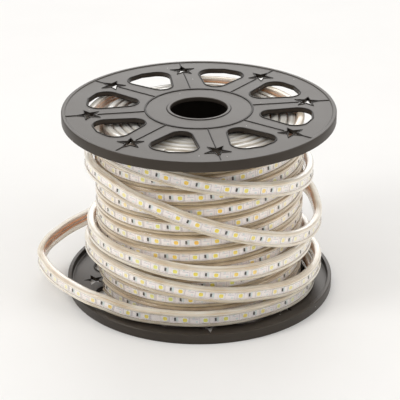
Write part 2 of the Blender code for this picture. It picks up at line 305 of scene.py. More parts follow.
def place_camera():
    """Camera at the photograph's angle, with its slight roll."""
    away = Vector((0.0, -math.cos(CAMERA_ELEVATION), math.sin(CAMERA_ELEVATION)))
    data = bpy.data.cameras.new("camera")
    data.lens = CAMERA_LENS
    data.sensor_width = 36.0
    data.clip_start, data.clip_end = 0.05, 50.0
    camera = bpy.data.objects.new("camera", data)
    bpy.context.collection.objects.link(camera)
    right = Vector((1.0, 0.0, 0.0))
    up = away.cross(right)
    turned_right = right * math.cos(CAMERA_ROLL) + up * math.sin(CAMERA_ROLL)
    turned_up = away.cross(turned_right)
    axes = Matrix((turned_right, turned_up, away)).transposed()
    camera.matrix_world = Matrix.Translation(CAMERA_TARGET + away * CAMERA_DISTANCE) @ axes.to_4x4()
    bpy.context.scene.camera = camera


# Routes

class Route:
    """The middle line of a stretch of strip, as angles and places."""

    def __init__(self, angles, places):
        self.angles = np.array(angles, float)
        self.places = np.array(places, float)
        steps = np.linalg.norm(np.diff(self.places, axis=0), axis=1)
        self.lengths = np.concatenate([[0.0], np.cumsum(steps)])
        self.length = float(self.lengths[-1])

    def length_at(self, angle):
        """Length along the line at an angle."""
        return float(np.interp(angle, self.angles, self.lengths))

    def curve(self, name):
        """The line as a curve that keeps the strip standing on its edge."""
        data = bpy.data.curves.new(name, "CURVE")
        data.dimensions = "3D"
        data.twist_mode = "Z_UP"
        data.use_path = True
        spline = data.splines.new("POLY")
        spline.points.add(len(self.places) - 1)
        rows = np.concatenate([self.places, np.ones((len(self.places), 1))], axis=1)
        spline.points.foreach_set("co", rows.ravel())
        piece = bpy.data.objects.new(name, data)
        bpy.context.collection.objects.link(piece)
        return piece


def route_value(points, column, angle):
    """Smooth value of a route's column at an angle, by cubic pieces through its points."""
    last = len(points) - 1
    index = max(i for i in range(last) if points[i][0] <= angle)

    def slope(i):
        before, after = points[max(i - 1, 0)], points[min(i + 1, last)]
        return (after[column] - before[column]) / (after[0] - before[0])

    start, end = points[index], points[index + 1]
    span = end[0] - start[0]
    share = (angle - start[0]) / span
    rise = 3 * share ** 2 - 2 * share ** 3
    return ((1 - rise) * start[column] + rise * end[column]
            + span * (share * (1 - share) ** 2 * slope(index)
                      - share ** 2 * (1 - share) * slope(index + 1)))


def around(radius, angle, height):
    """Place at an angle in degrees from the front."""
    turn = math.radians(angle)
    return (radius * math.sin(turn), -radius * math.cos(turn), height)


def outer_route(points, start, end):
    """Part of a route of the outer turns, between two angles."""
    count = round((end - start) * ROUTE_STEPS_PER_DEGREE)
    angles = [start + (end - start) * i / count for i in range(count + 1)]
    places = []
    for angle in angles:
        radius = WRAP_RADIUS + route_value(points, 1, angle) * RIM_ROOM
        share = max(0.0, route_value(points, 2, angle))
        height = LOWEST_CENTRE + share * (HIGHEST_CENTRE - LOWEST_CENTRE)
        places.append(around(radius, angle, height))
    return Route(angles, places)


def layer_route():
    """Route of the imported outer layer, which climbs to the right and sways as it was laid."""
    radius = WINDING_RADIUS - STRIP_THICKNESS / 2
    last = len(LAYER_ROWS) - 1
    angles = np.arange(LAYER_START, last * 360 + LAYER_END, LAYER_STEP)
    places = []
    for angle in angles:
        turn = angle / 360
        height = float(np.interp(turn, range(last + 1), LAYER_ROWS))
        height += min(0.0, turn) * LAYER_TURN_PITCH + max(0.0, turn - last) * LAYER_TURN_PITCH
        grown = min(1.0, max(0.0, (turn - LAYER_SWAY_START) / LAYER_SWAY_GROWTH))
        height += grown * LAYER_SWAY * math.sin(math.radians(angle))
        places.append(around(radius, angle, min(HIGHEST_CENTRE, max(LOWEST_CENTRE, height * MM))))
    return Route(angles, places)


def ring_route(radius, height, phase, rise):
    """Route of one turn at the top or the bottom of an inner layer."""
    angles = np.linspace(phase, phase + RING_TURN, RING_POINTS)
    places = [around(radius, angle, height + rise * (angle - phase) / 360) for angle in angles]
    return Route(angles, places)


# Strip

def sleeve_outline():
    """Section of the sleeve as (outward, upward): a shallow valley between two round lobes."""
    upper = [(2.95, 0.0), (2.95, 1.5), (3.0, 2.6), (3.25, 3.3), (3.5, 4.2), (3.4, 5.2),
             (2.8, 6.0), (1.6, 6.4), (0.0, 6.5), (-1.6, 6.38), (-2.75, 5.85), (-3.35, 4.9),
             (-3.5, 3.4), (-3.5, 1.6), (-3.5, 0.0)]
    lower = [(out, -up) for out, up in reversed(upper[1:-1])]
    return [(out * MM, up * MM) for out, up in upper + lower]


def band_outline():
    """Section of the circuit band."""
    half = BAND_WIDTH / 2
    return [(BAND_FRONT, -half), (BAND_FRONT, half), (BAND_FRONT - BAND_THICKNESS, half),
            (BAND_FRONT - BAND_THICKNESS, -half)]


def wire_outline(side):
    """Section of the upper or the lower copper conductor, behind the band."""
    turns = [math.tau * i / 8 for i in range(8)]
    return [(-WIRE_BACK + WIRE_RADIUS * math.cos(turn),
             WIRE_RISE + side * WIRE_HEIGHT + WIRE_RADIUS * math.sin(turn)) for turn in turns]


def outlined(name, outline, fill="NOTHING"):
    """A flat ring of points with a given outline of (x, y, z) places."""
    bpy.ops.object.select_all(action="DESELECT")
    bpy.ops.mesh.primitive_circle_add(vertices=len(outline), radius=1.0, fill_type=fill)
    piece = bpy.context.object
    piece.name = name
    for vertex, place in zip(piece.data.vertices, outline):
        vertex.co = place
    return piece


def straight_bar(name, outline, length, start=0.0, step=SLEEVE_STEP):
    """A straight bar along X with a section, in equal short lengths, open at its ends.

    The strip's front looks along -Y."""
    count = max(2, round(length / step))
    bar = outlined(name, [(start, -out, up) for out, up in outline])
    edit(bar)
    bpy.ops.mesh.extrude_region_move(TRANSFORM_OT_translate={"value": (length / count, 0, 0)})
    close_edit()
    array = bar.modifiers.new("lengths", "ARRAY")
    array.use_relative_offset = False
    array.use_constant_offset = True
    array.constant_offset_displace = (length / count, 0, 0)
    array.count = count
    array.use_merge_vertices = True
    array.merge_threshold = MERGE_DISTANCE
    apply_all(bar)
    return bar


def points_of(mesh):
    """Places of a mesh's points, one after the other."""
    places = np.zeros(len(mesh.vertices) * 3, np.float32)
    mesh.vertices.foreach_get("co", places)
    return places


def laid_on(piece, path, smooth=50, capped=True):
    """Note each point's place in the straight strip, then lay the piece on its path."""
    places = points_of(piece.data)
    note = piece.data.attributes.new("strip", "FLOAT_VECTOR", "POINT")
    note.data.foreach_set("vector", places)
    bend = piece.modifiers.new("path", "CURVE")
    bend.object = path
    bend.deform_axis = "POS_X"
    apply_all(piece)
    edit(piece)
    if capped:
        bpy.ops.mesh.select_all(action="DESELECT")
        bpy.ops.mesh.select_non_manifold()
        bpy.ops.mesh.edge_face_add()
    bpy.ops.mesh.select_all(action="SELECT")
    bpy.ops.mesh.normals_make_consistent(inside=False)
    close_edit(smooth)
    return piece


def box(name, size, centre, material, rounding=0.0):
    """A small block of the circuit, with rounded edges."""
    bpy.ops.object.select_all(action="DESELECT")
    bpy.ops.mesh.primitive_cube_add(size=1.0, location=centre, scale=size)
    block = bpy.context.object
    block.name = name
    apply_place(block)
    if rounding:
        edit(block)
        bpy.ops.mesh.bevel(offset=rounding, segments=1, affect="EDGES")
        close_edit()
    block.data.materials.append(material)
    return block


def circuit_part(name, size, along, up, finish, raised=0.0, rounding=0.0):
    """A small part on the band's face, with its measures in millimetres."""
    place = (along * MM, -BAND_FRONT - SURFACE_LIFT - raised * MM, up * MM)
    return box(name, tuple(side * MM for side in size), place, finish, rounding * MM)


def led():
    """One LED: a white body with a shallow cup of phosphor in its front, and a line beside it."""
    depth = LED_SIZE[1]
    front = -BAND_FRONT - depth + LED_SEAT
    body = box("led", LED_SIZE, (0.0, front + depth / 2, 0.0), LED_BODY, LED_ROUNDING)
    edit(body)
    select_faces(body, lambda centre, normal: normal.y < -FRONT_FACING
                 and centre.y < front + 0.1 * MM)
    bpy.ops.mesh.inset(thickness=CUP_MARGIN, depth=0.0)
    bpy.ops.mesh.bevel(offset=CUP_CORNER, segments=2, affect="VERTICES")
    close_edit()
    select_faces(body, lambda centre, normal: normal.y < -FRONT_FACING
                 and abs(centre.x) < 0.2 * MM and abs(centre.z) < 0.2 * MM)
    bpy.ops.mesh.extrude_region_move(TRANSFORM_OT_translate={"value": (0, CUP_DEPTH, 0)})
    bpy.ops.object.mode_set(mode="OBJECT")
    body.data.materials.append(PHOSPHOR)
    for face in body.data.polygons:
        if face.select:
            face.material_index = 1
    edge = circuit_part("led_edge", (0.3, 0.06, 5.6), 3.5, 0.0, TRACK)
    return joined("led", [body, edge])


def resistor():
    """A resistor with its solder pad and the track below it."""
    return joined("resistor", [
        circuit_part("resistor", (1.4, 0.7, 2.9), 0.0, 0.0, RESISTOR, 0.3, 0.15),
        circuit_part("solder_pad", (1.9, 0.1, 4.2), 1.75, 0.0, SOLDER),
        circuit_part("track", (5.2, 0.06, 0.3), 0.0, -2.7, TRACK)])


def cut_marks():
    """The solder pads, the track and the line where the strip may be cut."""
    return joined("cut_marks", [
        circuit_part("solder_pad", (1.7, 0.12, 1.5), -1.2, 1.9, SOLDER),
        circuit_part("solder_pad", (1.7, 0.12, 1.5), 1.2, -1.9, SOLDER),
        circuit_part("track", (5.2, 0.06, 0.4), 0.0, 0.4, TRACK),
        circuit_part("cut_line", (0.3, 0.06, 6.4), 3.6, 0.0, TRACK)])


def row_of(part, first, step, last):
    """A part and its copies at equal steps along the strip, each with its number noted."""
    part.data.transform(Matrix.Translation((first, 0, 0)))
    array = part.modifiers.new("row", "ARRAY")
    array.use_relative_offset = False
    array.use_constant_offset = True
    array.constant_offset_displace = (step, 0, 0)
    array.count = int((last - first) / step) + 1
    apply_all(part)
    places = points_of(part.data)
    note = part.data.attributes.new("number", "FLOAT", "POINT")
    note.data.foreach_set("value", np.round((places[::3] - first) / step))
    return part


def circuit(name, path, route, led_angle, spacing):
    """LEDs at their spacing, with a resistor in every second gap and cut marks in the others."""
    rows = []
    for part, offset, step in ((led(), 0.0, spacing), (resistor(), spacing / 2, 2 * spacing),
                               (cut_marks(), spacing * 1.5, 2 * spacing)):
        room = max(abs(vertex.co.x) for vertex in part.data.vertices) + PART_ROOM
        first = room + (route.length_at(led_angle) + offset - room) % step
        rows.append(row_of(part, first, step, route.length - room))
    return laid_on(joined(name, rows), path, 30, False)


def strip_pieces(name, node, route, held, margins, step, finish, led_angle, spacing):
    """A length of strip on its route: sleeve, circuit band, conductors and LEDs.

    The sleeve leaves the held lengths free at its ends, and what is inside it the margins."""
    path = route.curve(name + "_path")
    length = route.length - sum(held)
    inner = length - sum(margins)
    begin = held[0] + margins[0]

    def bar(kind, outline, size, start):
        return laid_on(straight_bar(f"{name}_{kind}", outline, size, start, step), path)

    sleeve = bar("sleeve", sleeve_outline(), length, held[0])
    band = bar("band", band_outline(), inner, begin)
    wires = joined(name + "_conductors",
                   [bar("wire", wire_outline(side), inner, begin) for side in (1, -1)])
    leds = circuit(name + "_leds", path, route, led_angle, spacing)
    removed(path)
    finish_piece(sleeve, "clear_sleeve", finish)
    finish_piece(band, "clear_sleeve", BAND)
    finish_piece(wires, "clear_sleeve", COPPER)
    finish_piece(leds, "clear_sleeve")
    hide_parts(node)
    return sleeve, band, wires, leds, route


def stretch(name, node, points, start, end, butts, led_angle, spacing):
    """One stretch of the outer turns, with a hair of room where it butts against the next."""
    held = [BUTT_GAP / 2 * butt for butt in butts]
    margins = [0.0 if butt else END_MARGIN for butt in butts]
    return strip_pieces(name, node, outer_route(points, start, end), held, margins,
                        SLEEVE_STEP, SLEEVE, led_angle, spacing)


def packed_layer():
    """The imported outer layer, one long strip wound from the bottom to the top."""
    # Its sleeve is a darker copy of the outer turns': painted shade.
    strip_pieces("layer", "outer_layer", layer_route(), (0.0, 0.0), (LAYER_MARGIN, LAYER_MARGIN),
                 PACKED_STEP, SHADED_LAYER_SLEEVE, LAYER_LED_ANGLE, LAYER_LED_SPACING)


def inner_layers():
    """Top and bottom turns of the inner layers, which show through the flanges' windows."""
    sleeves, bands, wires = [], [], []
    bars = ((sleeves, sleeve_outline(), 0.0), (bands, band_outline(), RING_MARGIN),
            (wires, wire_outline(1), RING_MARGIN), (wires, wire_outline(-1), RING_MARGIN))
    heights = (WINDING_TOP - STRIP_WIDTH / 2, WINDING_BOTTOM + STRIP_WIDTH / 2)
    for layer in range(INNER_LAYERS):
        radius = BARREL_RADIUS + GAP + (layer + 0.5) * LAYER_THICKNESS
        for height, rise in zip(heights, RING_RISES):
            route = ring_route(radius, height, RING_PHASE + RING_PHASE_STEP * layer, rise)
            path = route.curve("ring_path")
            for pieces, outline, margin in bars:
                length = route.length - 2 * margin
                bar = straight_bar("ring_bar", outline, length, margin, PACKED_STEP)
                pieces.append(laid_on(bar, path))
            removed(path)
    # Their sleeves are a slightly darker copy of the outer turns': painted shade.
    finish_piece(joined("inner_sleeves", sleeves), "clear_sleeve", HALF_SHADED_INNER_SLEEVE)
    finish_piece(joined("inner_bands", bands), "clear_sleeve", BAND)
    finish_piece(joined("inner_conductors", wires), "clear_sleeve", COPPER)


# Reel

def turned(name, profile, steps=TURNED_STEPS, smooth=SMOOTH_ANGLE):
    """A turned shape: a ring that is extruded and resized along a closed profile."""
    bpy.ops.object.select_all(action="DESELECT")
    radius, height = profile[0]
    bpy.ops.mesh.primitive_circle_add(vertices=steps, radius=radius, location=(0, 0, height))
    piece = bpy.context.object
    piece.name = name
    apply_place(piece)
    edit(piece)
    for (before, low), (after, high) in zip(profile, profile[1:] + profile[:1]):
        bpy.ops.mesh.extrude_region_move(TRANSFORM_OT_translate={"value": (0, 0, high - low)})
        share = after / before
        bpy.ops.transform.resize(value=(share, share, 1.0), center_override=(0, 0, 0))
    bpy.ops.mesh.select_all(action="SELECT")
    bpy.ops.mesh.remove_doubles(threshold=WELD_DISTANCE)
    bpy.ops.mesh.normals_make_consistent(inside=False)
    close_edit(smooth)
    return piece


def arc(centre, radius, start, end):
    """Points of an arc, as (along, across), with angles in degrees from the radius."""
    points = []
    for step in range(ARC_STEPS + 1):
        angle = math.radians(start + (end - start) * step / ARC_STEPS)
        points.append((centre[0] + radius * math.cos(angle), centre[1] + radius * math.sin(angle)))
    return points


def window_outline(margin=0.0):
    """Rounded window, wide at its outer end, grown by a margin."""
    foot = (WINDOW_INNER + WINDOW_FOOT_RADIUS, 0.0)
    shoulder_across = WINDOW_WIDTH / 2 - WINDOW_SHOULDER_RADIUS
    shoulder_along = WINDOW_OUTER - WINDOW_SHOULDER_DROP - WINDOW_SHOULDER_RADIUS
    lean = math.degrees(math.atan2(shoulder_across, shoulder_along - foot[0]))
    side = 90 + lean
    points = arc(foot, WINDOW_FOOT_RADIUS + margin, 360 - side, side)
    round_off = WINDOW_SHOULDER_RADIUS + margin
    points += arc((shoulder_along, shoulder_across), round_off, side, WINDOW_BROW)
    points.append((WINDOW_OUTER + margin, 0.0))
    points += arc((shoulder_along, -shoulder_across), round_off, -WINDOW_BROW, -side)
    return points


def star_outline(radius):
    """Five-pointed star with one tip outwards."""
    points = []
    for corner in range(10):
        reach = radius if corner % 2 == 0 else radius * STAR_NOTCH
        angle = corner * math.pi / 5
        points.append((STAR_CENTRE + reach * math.cos(angle), reach * math.sin(angle)))
    return points


def at_angle(points, angle, height):
    """Points given along and across a radius, placed at an angle round the axis."""
    return [(along * math.cos(angle) - across * math.sin(angle),
             along * math.sin(angle) + across * math.cos(angle), height)
            for along, across in points]


def prism(name, outline, angle, low, high):
    """A prism over an outline, for cutting."""
    piece = outlined(name, at_angle(outline, angle, low), "NGON")
    edit(piece)
    bpy.ops.mesh.extrude_region_move(TRANSFORM_OT_translate={"value": (0, 0, high - low)})
    bpy.ops.mesh.select_all(action="SELECT")
    bpy.ops.mesh.normals_make_consistent(inside=False)
    close_edit()
    return piece


def bead(name, outline, angle, height, radius, closed=True):
    """A raised round line that follows an outline."""
    data = bpy.data.curves.new(name, "CURVE")
    data.dimensions = "3D"
    data.bevel_depth = radius
    data.bevel_resolution = 1
    data.use_fill_caps = True
    spline = data.splines.new("POLY")
    spline.points.add(len(outline) - 1)
    for point, place in zip(spline.points, at_angle(outline, angle, height)):
        point.co = (*place, 1.0)
    spline.use_cyclic_u = closed
    piece = bpy.data.objects.new(name, data)
    bpy.context.collection.objects.link(piece)
    activate(piece)
    bpy.ops.object.convert(target="MESH")
    piece = bpy.context.object
    bpy.ops.object.shade_smooth()
    return piece


def cut(piece, tool):
    """Cut one piece with another and throw the tool away."""
    modifier = piece.modifiers.new("cut", "BOOLEAN")
    modifier.operation = "DIFFERENCE"
    modifier.solver = "EXACT"
    modifier.object = tool
    apply_all(piece)
    removed(tool)


def moulded_flange(name, node, phase, over):
    """Moulded flange with its outer face down, turned over where it is the upper one."""
    rim_inner = FLANGE_RADIUS - RIM_WIDTH
    lip = BORE_RADIUS + BORE_LIP_WIDTH
    profile = [
        (BORE_RADIUS, 0.5 * MM), (BORE_RADIUS + 0.5 * MM, 0.0), (lip - 0.6 * MM, 0.0),
        (lip, 0.45 * MM), (lip + 0.4 * MM, FLANGE_RELIEF),
        (BARREL_RADIUS - 1.0 * MM, FLANGE_RELIEF), (BARREL_RADIUS - 0.8 * MM, RIDGE_CLEARANCE),
        (BARREL_RADIUS + 0.6 * MM, RIDGE_CLEARANCE), (BARREL_RADIUS + 0.8 * MM, FLANGE_RELIEF),
        (rim_inner - 0.5 * MM, FLANGE_RELIEF), (rim_inner, 0.35 * MM), (rim_inner + 0.4 * MM, 0.0),
        (FLANGE_RADIUS - 0.9 * MM, 0.0), (FLANGE_RADIUS - 0.3 * MM, 0.2 * MM),
        (FLANGE_RADIUS, 0.8 * MM), (FLANGE_RADIUS, RIM_HEIGHT - 0.5 * MM),
        (FLANGE_RADIUS - 0.5 * MM, RIM_HEIGHT), (rim_inner + 0.4 * MM, RIM_HEIGHT),
        (rim_inner, RIM_HEIGHT - 0.4 * MM), (rim_inner, PLATE_TOP + 1.2 * MM),
        (rim_inner - 0.4 * MM, PLATE_TOP + 0.35 * MM), (rim_inner - 1.2 * MM, PLATE_TOP),
        (BORE_RADIUS + 0.4 * MM, PLATE_TOP), (BORE_RADIUS, PLATE_TOP - 0.4 * MM)]
    disc = turned(name, profile)
    sector = math.tau / SECTOR_COUNT
    window_angle = phase + sector / 2
    tools = []
    for outline, angle in ((window_outline(), window_angle), (star_outline(STAR_RADIUS), phase)):
        tools += round_the_axis(prism("hole_tool", outline, angle, CUT_LOW, CUT_HIGH), SECTOR_COUNT)
    cut(disc, joined("hole_tools", tools))
    activate(disc)
    bpy.ops.object.shade_smooth_by_angle(angle=math.radians(SMOOTH_ANGLE))
    edit(disc)
    select_faces(disc, lambda centre, normal: abs(normal.z) > PLATE_FACING)
    bpy.ops.mesh.faces_shade_flat()
    close_edit()
    bead_level, rib_level = BEAD_RADIUS + RIDGE_CLEARANCE, RIB_RADIUS + RIDGE_CLEARANCE
    inner_rib = [(BARREL_RADIUS + 1.0 * MM, 0.0), (STAR_CENTRE - STAR_RADIUS * 0.75, 0.0)]
    outer_rib = [(STAR_CENTRE + STAR_RADIUS * 1.1, 0.0), (rim_inner + 0.5 * MM, 0.0)]
    trims = []
    for outline, angle, height, radius, closed in (
            (window_outline(WINDOW_BEAD_MARGIN), window_angle, bead_level, BEAD_RADIUS, True),
            (window_outline(INNER_BEAD_MARGIN), window_angle, PLATE_TOP, BEAD_RADIUS, True),
            (star_outline(STAR_RADIUS + STAR_BEAD_MARGIN), phase, bead_level, BEAD_RADIUS, True),
            (inner_rib, phase, rib_level, RIB_RADIUS, False),
            (outer_rib, phase, rib_level, RIB_RADIUS, False)):
        trims += round_the_axis(bead(name + "_bead", outline, angle, height, radius, closed),
                                SECTOR_COUNT)
    # The beads, the raised ring round the barrel and the bore lip's edge take the darker copy of
    # the moulding: painted shade on the raised lines.
    disc.data.materials.clear()
    for finish in (MOULDED, SHADED_RIDGE):
        disc.data.materials.append(finish)
    for face in disc.data.polygons:
        reach = math.hypot(face.center.x, face.center.y)
        shaded_ridge_face = abs(reach - BARREL_RADIUS) < 1.0 * MM or lip - 0.6 * MM < reach < lip + 0.4 * MM
        face.material_index = int(shaded_ridge_face and face.center.z < FLANGE_RELIEF - 0.05 * MM)
    for trim in trims:
        trim.data.materials.clear()
        trim.data.materials.append(SHADED_RIDGE)
    disc = joined(name, [disc] + trims)
    if over:
        disc.data.transform(Matrix.Translation((0, 0, REEL_HEIGHT))
                            @ Matrix.Rotation(math.pi, 4, "X"))
    finish_piece(disc, "black_plastic")
    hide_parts(node)


def barrel():
    """Hollow barrel between the two flanges."""
    low, high = PLATE_TOP, REEL_HEIGHT - PLATE_TOP
    inner = BARREL_RADIUS - BARREL_WALL
    piece = turned("barrel", [(inner, low + GAP), (BARREL_RADIUS, low + GAP),
                              (BARREL_RADIUS, high - GAP), (inner, high - GAP)])
    finish_piece(piece, "black_plastic", MOULDED)
    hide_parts("core_barrel")


def packed_core():
    """What shows of the inner layers between the outer layer's turns."""
    inner = BARREL_RADIUS + CORE_CLEARANCE
    outer = WINDING_RADIUS - LAYER_THICKNESS - GAP
    height = WINDING_BOTTOM + CORE_INSET
    profile = [(inner, height)]
    while height < WINDING_TOP - 2 * CORE_INSET:
        profile += [(outer - CORE_GROOVE, height), (outer, height + CORE_SLOPE),
                    (outer, height + CORE_FLAT)]
        height += CORE_PITCH
    profile += [(outer - CORE_GROOVE, height), (inner, height)]
    core = finish_piece(turned("packed_core", profile, 96, 60), "clear_sleeve", SHADED_SLEEVE)
    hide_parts("strip_winding")


# Finishes

BLACK, WHITE = (0.0, 0.0, 0.0), (1.0, 1.0, 1.0)
SCRATCH_ROUGHNESS = 0.12
DUST = (0.42, 0.40, 0.37)
SPECK_REACH = 0.035
WARM_GLOSS = (1.0, 0.90, 0.79, 1.0)
# Painted shade lines across the sleeve: each a share of its half width and a brightness.
SLEEVE_SHADE_LINES = ((0.61, 0.50), (0.66, 1.0), (0.72, 1.0), (0.77, 0.62), (0.82, 1.0), (0.90, 0.75))
# How much less clear the sleeve grows where it is seen aslant, under its painted sheen.
SHEEN_OPACITY = 0.45
STREAK_SPREAD = 0.30
PHOSPHOR_COLOURS = ((0.0, (0.94, 0.50, 0.06)), (0.25, (0.92, 0.60, 0.08)),
                    (0.6, (0.84, 0.72, 0.10)), (1.0, (0.70, 0.78, 0.22)))
# Painted sheen: the pale colour the phosphor turns where it is seen aslant.
PHOSPHOR_SHEEN_TINT = (0.94, 0.93, 0.72)
CHANCE_SHARE = 0.38
DRIFT_SHARE = 0.62


def new_material(name, roughness, **sockets):
    """A material with its own plain values."""
    material = bpy.data.materials.new(name)
    material.use_nodes = True
    shader = material.node_tree.nodes["Principled BSDF"]
    shader.inputs["Roughness"].default_value = roughness
    for key, value in sockets.items():
        shader.inputs[key.replace("_", " ")].default_value = value
    return material


def add_node(tree, kind, values=None, **settings):
    """A node with its settings and its inputs' values."""
    node = tree.nodes.new(kind)
    for key, value in settings.items():
        setattr(node, key, value)
    for key, value in (values or {}).items():
        node.inputs[key].default_value = value
    return node


def colour_ramp(tree, *stops):
    """A colour ramp with its stops, each a position and a colour."""
    ramp = tree.nodes.new("ShaderNodeValToRGB")
    elements = ramp.color_ramp.elements
    for element, (position, colour) in zip(list(elements), (stops[0], stops[-1])):
        element.position = position
        element.color = (*colour, 1.0)
    for position, colour in stops[1:-1]:
        elements.new(position).color = (*colour, 1.0)
    return ramp


def link(tree, *joints):
    """Join outputs to inputs, each joint a node, its output, a node and its input."""
    for source, output, target, entry in joints:
        tree.links.new(source.outputs[output], target.inputs[entry])


def wear_group():
    """Grain, blotches and fine scratches, as masks and a height."""
    tree = bpy.data.node_groups.new("moulding_wear", "ShaderNodeTree")
    for socket, side in (("Grain Scale", "INPUT"), ("Blotch Scale", "INPUT"), ("Blotch", "OUTPUT"),
                         ("Scratch", "OUTPUT"), ("Height", "OUTPUT")):
        tree.interface.new_socket(socket, in_out=side, socket_type="NodeSocketFloat")
    start = tree.nodes.new("NodeGroupInput")
    end = tree.nodes.new("NodeGroupOutput")
    place = tree.nodes.new("ShaderNodeTexCoord")
    blotch = add_node(tree, "ShaderNodeTexNoise", {"Detail": 4.0, "Roughness": 0.6})
    grain = add_node(tree, "ShaderNodeTexNoise", {"Detail": 2.0})
    stretched = add_node(tree, "ShaderNodeMapping", {"Scale": (1.0, 14.0, 1.0),
                                                     "Rotation": (0.3, 0.2, 0.7)})
    scratch = add_node(tree, "ShaderNodeTexNoise",
                       {"Scale": 90.0, "Detail": 3.0, "Distortion": 0.4})
    ramp = colour_ramp(tree, (0.68, BLACK), (0.76, WHITE))
    link(tree, (place, "Object", blotch, "Vector"), (place, "Object", grain, "Vector"),
         (place, "Object", stretched, "Vector"), (stretched, "Vector", scratch, "Vector"),
         (start, "Blotch Scale", blotch, "Scale"), (start, "Grain Scale", grain, "Scale"),
         (scratch, "Fac", ramp, "Fac"), (blotch, "Fac", end, "Blotch"),
         (ramp, "Color", end, "Scratch"), (grain, "Fac", end, "Height"))
    return tree


def worn(material, dark, light, low, high, grain, blotch, bump):
    """Vary a material's colour, roughness and height with the wear group."""
    tree = material.node_tree
    shader = tree.nodes["Principled BSDF"]
    wear = add_node(tree, "ShaderNodeGroup", {"Grain Scale": grain, "Blotch Scale": blotch},
                    node_tree=WEAR)
    colours = colour_ramp(tree, (0.3, dark), (0.75, light))
    gloss = add_node(tree, "ShaderNodeMapRange", {"To Min": low, "To Max": high})
    rough = add_node(tree, "ShaderNodeMath", {1: SCRATCH_ROUGHNESS}, operation="MULTIPLY_ADD")
    relief = add_node(tree, "ShaderNodeBump", {"Strength": bump, "Distance": 0.2 * MM})
    link(tree, (wear, "Blotch", colours, "Fac"), (colours, "Color", shader, "Base Color"),
         (wear, "Blotch", gloss, "Value"), (wear, "Scratch", rough, 0), (gloss, "Result", rough, 2),
         (rough, "Value", shader, "Roughness"), (wear, "Height", relief, "Height"),
         (relief, "Normal", shader, "Normal"))
    return material


def dusted(material):
    """Scatter a few pale specks of dust over a worn material."""
    tree = material.node_tree
    shader = tree.nodes["Principled BSDF"]
    place = tree.nodes.new("ShaderNodeTexCoord")
    cells = add_node(tree, "ShaderNodeTexVoronoi", {"Scale": 75.0})
    speck = add_node(tree, "ShaderNodeMath", {1: SPECK_REACH}, operation="LESS_THAN")
    mix = add_node(tree, "ShaderNodeMix", {7: (*DUST, 1.0)}, data_type="RGBA")
    colour = shader.inputs["Base Color"].links[0].from_socket
    link(tree, (place, "Object", cells, "Vector"), (cells, "Distance", speck, 0),
         (speck, "Value", mix, "Factor"))
    tree.links.new(colour, mix.inputs[6])
    link(tree, (mix, 2, shader, "Base Color"))
    return material


def strip_place(tree):
    """The point's place in the straight strip: along, backward and upward, in millimetres."""
    note = add_node(tree, "ShaderNodeAttribute", attribute_name="strip")
    scaled = add_node(tree, "ShaderNodeVectorMath", {"Scale": 1.0 / MM}, operation="SCALE")
    apart = tree.nodes.new("ShaderNodeSeparateXYZ")
    link(tree, (note, "Vector", scaled, 0), (scaled, "Vector", apart, 0))
    return scaled, apart


